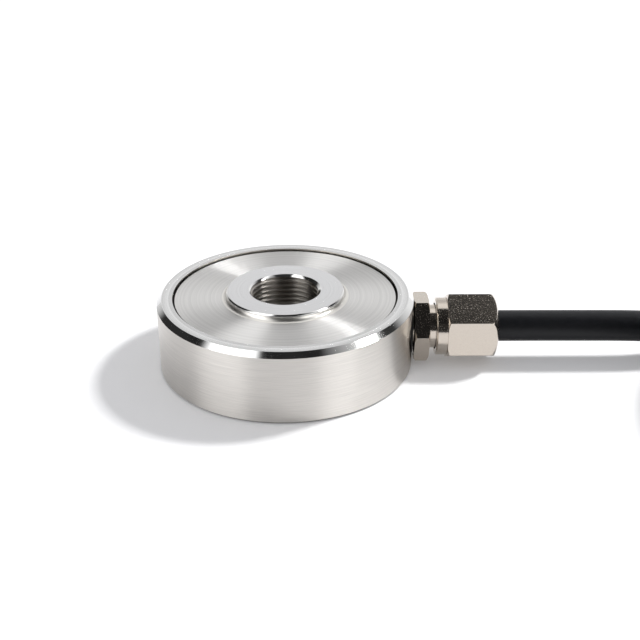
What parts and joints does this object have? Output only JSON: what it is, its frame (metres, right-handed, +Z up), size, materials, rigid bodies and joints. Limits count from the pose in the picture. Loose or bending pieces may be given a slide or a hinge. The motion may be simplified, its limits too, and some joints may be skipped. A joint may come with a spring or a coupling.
{
  "type": "ring force sensor",
  "caption": "Flat steel ring force sensor with a raised load boss round a threaded bore, a cable gland on its side and a coiled cable with a bare end.",
  "frame": {"origin": "on the ring's axis, in the plane of the ring's base, which stands on a flat surface", "axes": "+Z up along the ring's axis, +X along the cable gland and the cable, away from the ring"},
  "size_m": [0.1976, 0.0958, 0.0222],
  "materials": {
    "stainless_steel": "turned, with a fine brushed side and polished edges",
    "nickel_plated_brass": "nickel plated, smooth",
    "black_rubber": "matt, soft",
    "cable_jacket": "matt black polyurethane",
    "terminal_board": "green glass-fibre board",
    "gauge_film": "amber polyimide film",
    "wire_enamel": "enamelled copper wire",
    "tie_strap": "black hook-and-loop strap",
    "tinned_copper": "tinned copper strands",
    "core_red": "red insulation",
    "core_black": "black insulation",
    "core_green": "green insulation",
    "core_white": "white insulation"
  },
  "bodies": {
    "root": {"bare_lead_black": "core_black", "bare_lead_green": "core_green", "bare_lead_red": "core_red", "bare_lead_white": "core_white", "base_cover": "stainless_steel", "cable_coil": "cable_jacket", "cable_run": "cable_jacket", "coil_tie_1": "tie_strap", "coil_tie_2": "tie_strap", "coil_tie_3": "tie_strap", "end_sleeve": "black_rubber", "gauge_wire_inner_1": "wire_enamel", "gauge_wire_inner_2": "wire_enamel", "gauge_wire_inner_3": "wire_enamel", "gauge_wire_inner_4": "wire_enamel", "gauge_wire_outer_1": "wire_enamel", "gauge_wire_outer_2": "wire_enamel", "gauge_wire_outer_3": "wire_enamel", "gauge_wire_outer_4": "wire_enamel", "gland_body": "nickel_plated_brass", "gland_gasket": "black_rubber", "gland_grommet": "black_rubber", "gland_nut": "nickel_plated_brass", "gland_pressure_ring": "nickel_plated_brass", "housing_ring": "stainless_steel", "hub_seal": "black_rubber", "inner_core_black": "core_black", "inner_core_green": "core_green", "inner_core_red": "core_red", "inner_core_white": "core_white", "measuring_body": "stainless_steel", "strain_gauge_inner_1": "gauge_film", "strain_gauge_inner_2": "gauge_film", "strain_gauge_inner_3": "gauge_film", "strain_gauge_inner_4": "gauge_film", "strain_gauge_outer_1": "gauge_film", "strain_gauge_outer_2": "gauge_film", "strain_gauge_outer_3": "gauge_film", "strain_gauge_outer_4": "gauge_film", "terminal_board": "terminal_board", "tinned_tip_black": "tinned_copper", "tinned_tip_green": "tinned_copper", "tinned_tip_red": "tinned_copper", "tinned_tip_white": "tinned_copper"}
  },
  "joints": []
}
